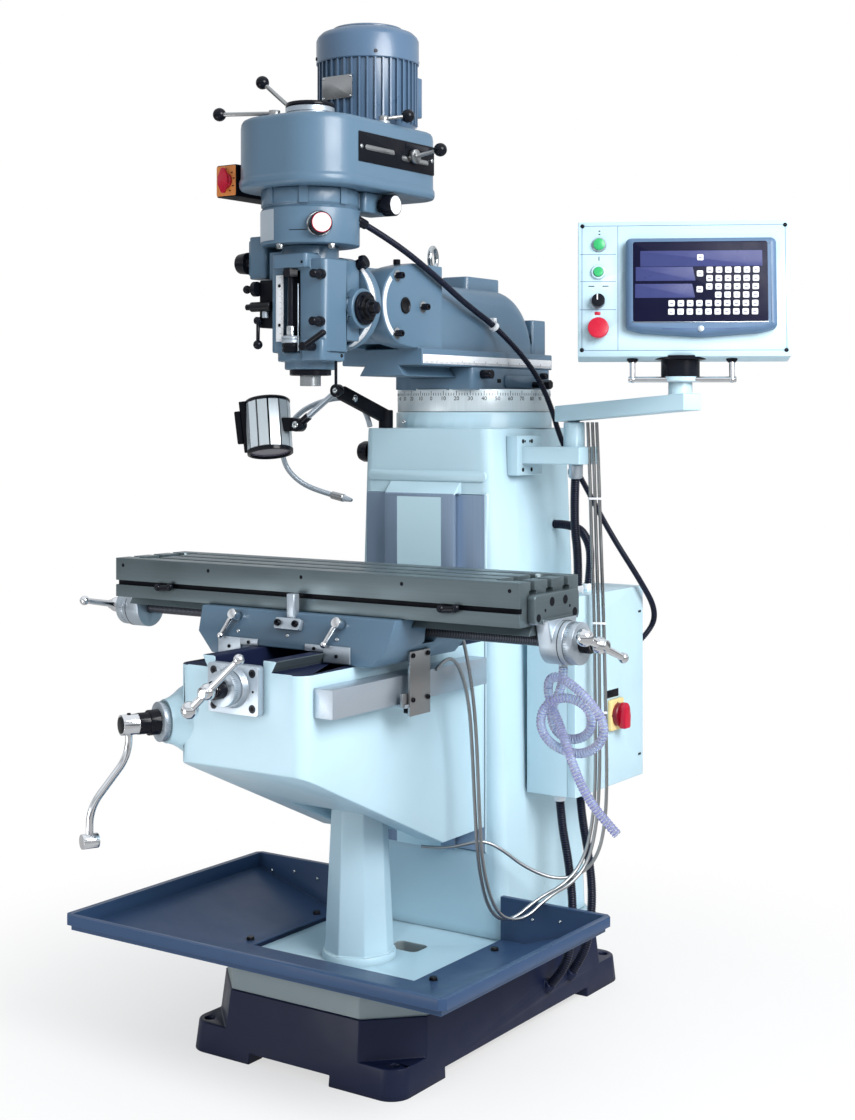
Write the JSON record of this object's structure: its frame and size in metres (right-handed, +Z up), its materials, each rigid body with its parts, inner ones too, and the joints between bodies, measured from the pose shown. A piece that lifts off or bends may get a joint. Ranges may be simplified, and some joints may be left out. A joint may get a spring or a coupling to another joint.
{
  "type": "turret milling machine",
  "caption": "Vertical turret milling machine with a cast base and chip tray, column, knee, saddle, slotted table, swivelling ram and head, control pendant, lamp and electrical cabinet.",
  "frame": {"origin": "on the floor under the middle of the base's four anchor holes", "axes": "+X along the table to the operator's right, +Y back from the operator, +Z up"},
  "size_m": [1.5101, 1.3013, 2.216],
  "materials": {
    "base_paint": "satin dark blue-grey paint",
    "white_paint": "satin cool white paint",
    "machine_paint": "gloss blue-grey paint",
    "cast_blue": "painted casting",
    "cast_dark": "painted casting",
    "cast_white": "painted casting with ground ways",
    "ground_iron": "ground and oiled",
    "ground_steel": "ground",
    "dark_steel": "blackened",
    "chrome": "polished",
    "silver": "satin",
    "motor_grey": "painted",
    "black_plastic": "moulded",
    "grey_plastic": "moulded",
    "red_plastic": "moulded",
    "green_plastic": "moulded",
    "cable_black": "ribbed",
    "clear_hose": "clear",
    "belt_rubber": "moulded"
  },
  "bodies": {
    "frame": {"base_casting": "cast_dark", "chip_tray": "base_paint", "column_casting": "cast_white", "knee_screw_pedestal": "cast_white", "cabinet_box": "white_paint", "pendant_bracket": "white_paint", "machine_cables": "cable_black", "coolant_gooseneck": "silver"},
    "turret": {"turret_casting": "cast_blue"},
    "ram": {"ram_casting": "cast_blue", "lifting_eye": "ground_steel", "head_conduit": "cable_black"},
    "adapter": {"head_adapter": "cast_blue"},
    "head": {"head_casting": "cast_blue", "feed_gearbox": "machine_paint", "gear_housing": "cast_blue", "belt_housing": "machine_paint", "motor": "motor_grey", "drive_belt": "belt_rubber", "drum_switch_box": "black_plastic"},
    "knee": {"knee_casting": "cast_white", "cross_screw_bracket": "silver", "cross_scale": "silver"},
    "saddle": {"saddle_casting": "cast_blue"},
    "work_table": {"table": "ground_iron", "table_end_brackets": "ground_iron", "coolant_hose": "clear_hose"},
    "pendant": {"pendant_box": "white_paint", "dro_display": "grey_plastic"},
    "elevating_screw": {"elevating_screw": "ground_steel"},
    "knee_crank": {"knee_crank": "chrome"},
    "cross_feed_screw": {"cross_feed_screw": "chrome"},
    "table_lock_lever_left": {"table_lock_lever_left": "chrome"},
    "table_lock_lever_right": {"table_lock_lever_right": "chrome"},
    "table_screw": {"table_screw": "chrome"},
    "ram_pinion_shaft": {"ram_pinion_shaft": "dark_steel"},
    "spindle_pulley": {"spindle_pulley": "silver"},
    "motor_pulley": {"motor_pulley": "silver"},
    "quill": {"quill": "ground_steel"},
    "spindle": {"spindle": "ground_steel"},
    "quill_feed_hub": {"quill_feed_hub": "dark_steel"},
    "quill_lock_lever": {"quill_lock_lever": "black_plastic"},
    "feed_lever": {"feed_lever": "black_plastic"},
    "fine_feed_knob": {"fine_feed_knob": "black_plastic"},
    "back_gear_knob": {"back_gear_knob": "black_plastic"},
    "clutch_knob": {"clutch_knob": "black_plastic"},
    "brake_lever": {"brake_lever": "dark_steel"},
    "motor_lock_lever_left": {"motor_lock_lever_left": "dark_steel"},
    "motor_lock_lever_right": {"motor_lock_lever_right": "dark_steel"},
    "belt_tension_lever": {"belt_tension_lever": "dark_steel"},
    "drum_switch_knob": {"drum_switch_knob": "red_plastic"},
    "pendant_arm": {"pendant_arm": "white_paint"},
    "start_button": {"start_button": "green_plastic"},
    "selector_knob": {"selector_knob": "black_plastic"},
    "stop_button": {"stop_button": "red_plastic"},
    "cabinet_door": {"cabinet_door": "white_paint"},
    "main_switch_knob": {"main_switch_knob": "red_plastic"},
    "lamp_bracket": {"lamp_bracket": "black_plastic"},
    "lamp_arm": {"lamp_arm": "silver"},
    "lamp_head": {"lamp_head": "silver"}
  },
  "joints": [
    {"name": "turret_swivel", "type": "hinge", "parent": "frame", "child": "turret", "pos_m": [0, 0.24, 1.4], "axis": [0, 0, 1], "range_deg": [-180, 35]},
    {"name": "ram_slide", "type": "slide", "parent": "turret", "child": "ram", "axis": [0, -1, 0], "range_m": [-0.255, 0.06], "deforming": ["head_conduit"]},
    {"name": "ram_pinion_turn", "type": "hinge", "parent": "turret", "child": "ram_pinion_shaft", "pos_m": [0.06, 0.33, 1.441], "axis": [1, 0, 0], "continuous": true},
    {"name": "head_nod", "type": "hinge", "parent": "ram", "child": "adapter", "pos_m": [0, -0.192, 1.606], "axis": [1, 0, 0], "range_deg": [-30, 45]},
    {"name": "head_swivel", "type": "hinge", "parent": "adapter", "child": "head", "pos_m": [0, -0.311, 1.606], "axis": [0, -1, 0], "range_deg": [-90, 90]},
    {"name": "quill_feed", "type": "slide", "parent": "head", "child": "quill", "axis": [0, 0, -1], "range_m": [0, 0.127]},
    {"name": "quill_feed_turn", "type": "hinge", "parent": "head", "child": "quill_feed_hub", "pos_m": [0.06, -0.345, 1.592], "axis": [1, 0, 0], "continuous": true},
    {"name": "spindle_spin", "type": "hinge", "parent": "quill", "child": "spindle", "pos_m": [0, -0.398, 1.6], "axis": [0, 0, 1], "continuous": true},
    {"name": "spindle_pulley_spin", "type": "hinge", "parent": "head", "child": "spindle_pulley", "pos_m": [0, -0.398, 1.91], "axis": [0, 0, 1], "continuous": true},
    {"name": "motor_pulley_spin", "type": "hinge", "parent": "head", "child": "motor_pulley", "pos_m": [0, -0.194, 1.91], "axis": [0, 0, 1], "continuous": true},
    {"name": "drum_switch_turn", "type": "hinge", "parent": "head", "child": "drum_switch_knob", "pos_m": [-0.17, -0.47, 1.866], "axis": [0, 1, 0], "range_deg": [-60, 60]},
    {"name": "brake_lever_swing", "type": "hinge", "parent": "head", "child": "brake_lever", "pos_m": [-0.063, -0.44, 2.003], "axis": [0, 0, 1], "range_deg": [-15, 35]},
    {"name": "motor_lock_left_turn", "type": "hinge", "parent": "head", "child": "motor_lock_lever_left", "pos_m": [-0.064, -0.388, 2.02], "axis": [0, 0, 1], "range_deg": [-25, 20]},
    {"name": "motor_lock_right_turn", "type": "hinge", "parent": "head", "child": "motor_lock_lever_right", "pos_m": [0.112, -0.29, 1.996], "axis": [0, 0, 1], "range_deg": [-60, 5]},
    {"name": "belt_tension_slide", "type": "slide", "parent": "head", "child": "belt_tension_lever", "axis": [0, 1, 0], "range_m": [-0.08, 0.03]},
    {"name": "back_gear_turn", "type": "hinge", "parent": "head", "child": "back_gear_knob", "pos_m": [0, -0.398, 1.76], "axis": [0.7431, -0.6691, 0], "range_deg": [0, 180]},
    {"name": "clutch_turn", "type": "hinge", "parent": "head", "child": "clutch_knob", "pos_m": [0.11, -0.285, 1.812], "axis": [1, 0, 0], "range_deg": [0, 90]},
    {"name": "quill_lock_turn", "type": "hinge", "parent": "head", "child": "quill_lock_lever", "pos_m": [0.063, -0.48, 1.508], "axis": [0, -1, 0], "range_deg": [-25, 40]},
    {"name": "feed_lever_swing", "type": "hinge", "parent": "head", "child": "feed_lever", "pos_m": [-0.096, -0.45, 1.567], "axis": [0, 1, 0], "range_deg": [-20, 20]},
    {"name": "fine_feed_turn", "type": "hinge", "parent": "head", "child": "fine_feed_knob", "pos_m": [-0.15, -0.425, 1.692], "axis": [1, 0, 0], "continuous": true},
    {"name": "knee_slide", "type": "slide", "parent": "frame", "child": "knee", "axis": [0, 0, -1], "range_m": [-0.325, 0.055], "deforming": ["machine_cables"]},
    {"name": "elevating_screw_turn", "type": "hinge", "parent": "knee", "child": "elevating_screw", "pos_m": [0, -0.225, 0.66], "axis": [0, 0, 1], "continuous": true},
    {"name": "knee_crank_turn", "type": "hinge", "parent": "knee", "child": "knee_crank", "pos_m": [-0.193, -0.64, 0.739], "axis": [-0.4217, -0.9067, 0], "continuous": true},
    {"name": "saddle_slide", "type": "slide", "parent": "knee", "child": "saddle", "axis": [0, 1, 0], "range_m": [-0.135, 0.15]},
    {"name": "cross_feed_turn", "type": "hinge", "parent": "knee", "child": "cross_feed_screw", "pos_m": [0, -0.64, 0.828], "axis": [0, 1, 0], "continuous": true},
    {"name": "table_slide", "type": "slide", "parent": "saddle", "child": "work_table", "axis": [1, 0, 0], "range_m": [-0.268, 0.268]},
    {"name": "table_screw_turn", "type": "hinge", "parent": "work_table", "child": "table_screw", "pos_m": [0, -0.315, 0.922], "axis": [1, 0, 0], "continuous": true},
    {"name": "table_lock_left_turn", "type": "hinge", "parent": "saddle", "child": "table_lock_lever_left", "pos_m": [-0.15, -0.457, 0.94], "axis": [0, -0.9357, 0.3529], "range_deg": [-25, 35]},
    {"name": "table_lock_right_turn", "type": "hinge", "parent": "saddle", "child": "table_lock_lever_right", "pos_m": [0.126, -0.457, 0.94], "axis": [0, -0.9357, 0.3529], "range_deg": [-25, 35]},
    {"name": "pendant_arm_swing", "type": "hinge", "parent": "frame", "child": "pendant_arm", "pos_m": [0.328, 0.148, 1.36], "axis": [0, 0, 1], "range_deg": [-50, 90]},
    {"name": "pendant_swivel", "type": "hinge", "parent": "pendant_arm", "child": "pendant", "pos_m": [0.624, 0.082, 1.455], "axis": [0, 0, 1], "range_deg": [-60, 60]},
    {"name": "start_button_press", "type": "slide", "parent": "pendant", "child": "start_button", "axis": [-0.474, 0.8694, -0.1392], "range_m": [0, 0.004], "stiffness_N_per_m": 900, "springref_m": -0.001},
    {"name": "selector_turn", "type": "hinge", "parent": "pendant", "child": "selector_knob", "pos_m": [0.48627, -0.02935, 1.60827], "axis": [0.474, -0.8694, 0.1392], "range_deg": [-45, 45]},
    {"name": "stop_button_press", "type": "slide", "parent": "pendant", "child": "stop_button", "axis": [-0.474, 0.8694, -0.1392], "range_m": [0, 0.005], "stiffness_N_per_m": 900, "springref_m": -0.001},
    {"name": "cabinet_door_swing", "type": "hinge", "parent": "frame", "child": "cabinet_door", "pos_m": [0.3503, 0.114, 0.734], "axis": [0, 0, -1], "range_deg": [0, 110]},
    {"name": "main_switch_turn", "type": "hinge", "parent": "cabinet_door", "child": "main_switch_knob", "pos_m": [0.36, 0.298, 0.673], "axis": [1, 0, 0], "range_deg": [0, 90]},
    {"name": "lamp_bracket_swing", "type": "hinge", "parent": "frame", "child": "lamp_bracket", "pos_m": [-0.138, 0.068, 1.35], "axis": [0, 0, 1], "range_deg": [-5, 30]},
    {"name": "lamp_arm_tilt", "type": "hinge", "parent": "lamp_bracket", "child": "lamp_arm", "pos_m": [-0.157, -0.096, 1.424], "axis": [0, 1, 0], "range_deg": [-20, 20]},
    {"name": "lamp_head_tilt", "type": "hinge", "parent": "lamp_arm", "child": "lamp_head", "pos_m": [-0.269, -0.098, 1.345], "axis": [0, 1, 0], "range_deg": [-30, 30]}
  ],
  "couplings": [
    {"joint": "ram_pinion_turn", "follows": "ram_slide", "rad_per_m": 83.333},
    {"joint": "quill_feed_turn", "follows": "quill_feed", "rad_per_m": 100},
    {"joint": "spindle_pulley_spin", "follows": "spindle_spin", "ratio": 1},
    {"joint": "motor_pulley_spin", "follows": "spindle_spin", "ratio": 1.2308},
    {"joint": "elevating_screw_turn", "follows": "knee_slide", "rad_per_m": 1047.2},
    {"joint": "knee_crank_turn", "follows": "knee_slide", "rad_per_m": 2094.4},
    {"joint": "cross_feed_turn", "follows": "saddle_slide", "rad_per_m": 1256.6},
    {"joint": "table_screw_turn", "follows": "table_slide", "rad_per_m": 1256.6}
  ]
}
